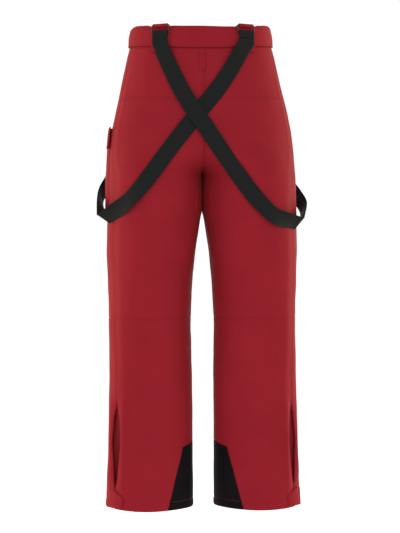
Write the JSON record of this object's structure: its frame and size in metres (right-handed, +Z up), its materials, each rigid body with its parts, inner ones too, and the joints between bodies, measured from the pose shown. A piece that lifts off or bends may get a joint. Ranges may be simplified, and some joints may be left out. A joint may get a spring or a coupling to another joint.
{
  "type": "ski pants",
  "caption": "Padded ski trousers with crossed elastic suspenders, zipped fly and hand pockets, thigh pocket, ankle guards, snow gaiters and hem tabs.",
  "frame": {"origin": "centre of the waist opening, level with the top edge of the waistband", "axes": "+X is the wearer's right, +Y the wearer's front, +Z up; the pictured back view looks along +Y"},
  "size_m": [0.4576, 0.2824, 1.0302],
  "materials": {
    "shell_red": "woven, matte",
    "inner_red": "woven, matte",
    "guard": "coarse woven, matte",
    "webbing": "ribbed elastic webbing",
    "lining": "smooth",
    "gaiter": "smooth coated",
    "grip": "matte",
    "ring_metal": "black coated",
    "moulded_black": "satin",
    "dark_metal": "gunmetal",
    "pull_black": "satin",
    "zip_black": "woven tape with coil",
    "zip_red": "woven tape with coil",
    "hook_pad": "hook and loop"
  },
  "bodies": {
    "trousers": {"waistband_back": "shell_red", "waistband_front_right": "shell_red", "waistband_front_left": "shell_red", "snap_studs": "dark_metal", "fly_placket": "shell_red", "fly_guard": "inner_red", "fly_zip_tape": "zip_black", "back_yoke_right": "shell_red", "back_yoke_left": "shell_red", "back_thigh_right": "shell_red", "back_thigh_left": "shell_red", "back_shin_right": "shell_red", "back_shin_left": "shell_red", "front_thigh_right": "shell_red", "front_thigh_left": "shell_red", "front_shin_right": "shell_red", "front_shin_left": "shell_red", "scuff_guard_right": "guard", "scuff_guard_left": "guard", "side_gusset_right": "inner_red", "side_gusset_left": "inner_red", "hem_hook_pads": "hook_pad", "centre_back_tab": "shell_red", "lining_right": "lining", "lining_left": "lining", "snow_gaiter_right": "gaiter", "snow_gaiter_left": "gaiter", "gaiter_grippers": "grip", "pocket_zip_tape_right": "zip_red", "pocket_zip_tape_left": "zip_red", "pocket_bags": "lining", "thigh_pocket": "shell_red", "back_strap_patches": "shell_red", "front_strap_patches": "shell_red", "strap_loops": "shell_red", "strap_right": "webbing", "strap_left": "webbing"},
    "fly_slider": {"fly_slider": "dark_metal"},
    "fly_pull": {"fly_pull": "pull_black"},
    "waist_tab": {"waist_tab": "shell_red", "snap_caps": "pull_black"},
    "thigh_flap": {"thigh_pocket_flap": "shell_red"},
    "pocket_slider_right": {"pocket_slider_right": "dark_metal"},
    "pocket_pull_right": {"pocket_pull_right": "pull_black"},
    "hem_tab_right": {"hem_tab_right": "shell_red"},
    "back_ring_right": {"back_ring_right": "ring_metal", "strap_end_right": "webbing"},
    "front_ring_right": {"front_ring_right": "ring_metal", "front_strap_right": "webbing", "strap_return_right": "webbing"},
    "adjuster_right": {"adjuster_right": "moulded_black"},
    "pocket_slider_left": {"pocket_slider_left": "dark_metal"},
    "pocket_pull_left": {"pocket_pull_left": "pull_black"},
    "hem_tab_left": {"hem_tab_left": "shell_red"},
    "back_ring_left": {"back_ring_left": "ring_metal", "strap_end_left": "webbing"},
    "front_ring_left": {"front_ring_left": "ring_metal", "front_strap_left": "webbing", "strap_return_left": "webbing"},
    "adjuster_left": {"adjuster_left": "moulded_black"}
  },
  "joints": [
    {"name": "fly_zip_slide", "type": "slide", "parent": "trousers", "child": "fly_slider", "axis": [0, 0.0785, -0.9969], "range_m": [0, 0.134]},
    {"name": "fly_pull_swing", "type": "hinge", "parent": "fly_slider", "child": "fly_pull", "pos_m": [0, 0.11803, -0.05891], "axis": [1, 0, 0], "range_deg": [0, 120]},
    {"name": "pocket_zip_slide_right", "type": "slide", "parent": "trousers", "child": "pocket_slider_right", "axis": [0.1937, 0.009, -0.981], "range_m": [0, 0.116]},
    {"name": "pocket_pull_swing_right", "type": "hinge", "parent": "pocket_slider_right", "child": "pocket_pull_right", "pos_m": [0.15431, 0.04857, -0.07619], "axis": [0.5476, -0.8307, 0.1005], "range_deg": [0, 120]},
    {"name": "pocket_zip_slide_left", "type": "slide", "parent": "trousers", "child": "pocket_slider_left", "axis": [-0.1937, 0.009, -0.981], "range_m": [0, 0.116]},
    {"name": "pocket_pull_swing_left", "type": "hinge", "parent": "pocket_slider_left", "child": "pocket_pull_left", "pos_m": [-0.15431, 0.04857, -0.07619], "axis": [0.5476, 0.8307, -0.1005], "range_deg": [0, 120]},
    {"name": "hem_tab_swing_right", "type": "hinge", "parent": "trousers", "child": "hem_tab_right", "pos_m": [0.20724, -0.02994, -1.004], "axis": [-0.0466, 0.0011, 0.9989], "range_deg": [0, 110]},
    {"name": "hem_tab_swing_left", "type": "hinge", "parent": "trousers", "child": "hem_tab_left", "pos_m": [-0.20724, -0.02994, -1.004], "axis": [-0.0466, -0.0011, -0.9989], "range_deg": [0, 110]},
    {"name": "waist_tab_swing", "type": "hinge", "parent": "trousers", "child": "waist_tab", "pos_m": [-0.009, 0.11335, -0.018], "axis": [0, 0, 1], "range_deg": [0, 75]},
    {"name": "thigh_flap_swing", "type": "hinge", "parent": "trousers", "child": "thigh_flap", "pos_m": [-0.19757, 0.0047, -0.206], "axis": [0.1593, 0.9872, 0], "range_deg": [0, 100]},
    {"name": "back_ring_swing_right", "type": "hinge", "parent": "trousers", "child": "back_ring_right", "pos_m": [0.09021, -0.10021, 0.0015], "axis": [-0.8918, -0.4524, 0], "range_deg": [0, 30]},
    {"name": "back_ring_swing_left", "type": "hinge", "parent": "trousers", "child": "back_ring_left", "pos_m": [-0.09021, -0.10021, 0.0015], "axis": [-0.8918, 0.4524, 0], "range_deg": [0, 30]},
    {"name": "front_ring_swing_right", "type": "hinge", "parent": "trousers", "child": "front_ring_right", "pos_m": [0.09021, 0.09421, 0.0015], "axis": [0.8918, -0.4524, 0], "range_deg": [0, 15]},
    {"name": "adjuster_slide_right", "type": "slide", "parent": "front_ring_right", "child": "adjuster_right", "axis": [-0.0551, -0.1087, 0.9925], "range_m": [0, 0.07], "deforming": ["strap_return_right"]},
    {"name": "front_ring_swing_left", "type": "hinge", "parent": "trousers", "child": "front_ring_left", "pos_m": [-0.09021, 0.09421, 0.0015], "axis": [0.8918, 0.4524, 0], "range_deg": [0, 15]},
    {"name": "adjuster_slide_left", "type": "slide", "parent": "front_ring_left", "child": "adjuster_left", "axis": [0.0551, -0.1087, 0.9925], "range_m": [0, 0.07], "deforming": ["strap_return_left"]}
  ]
}
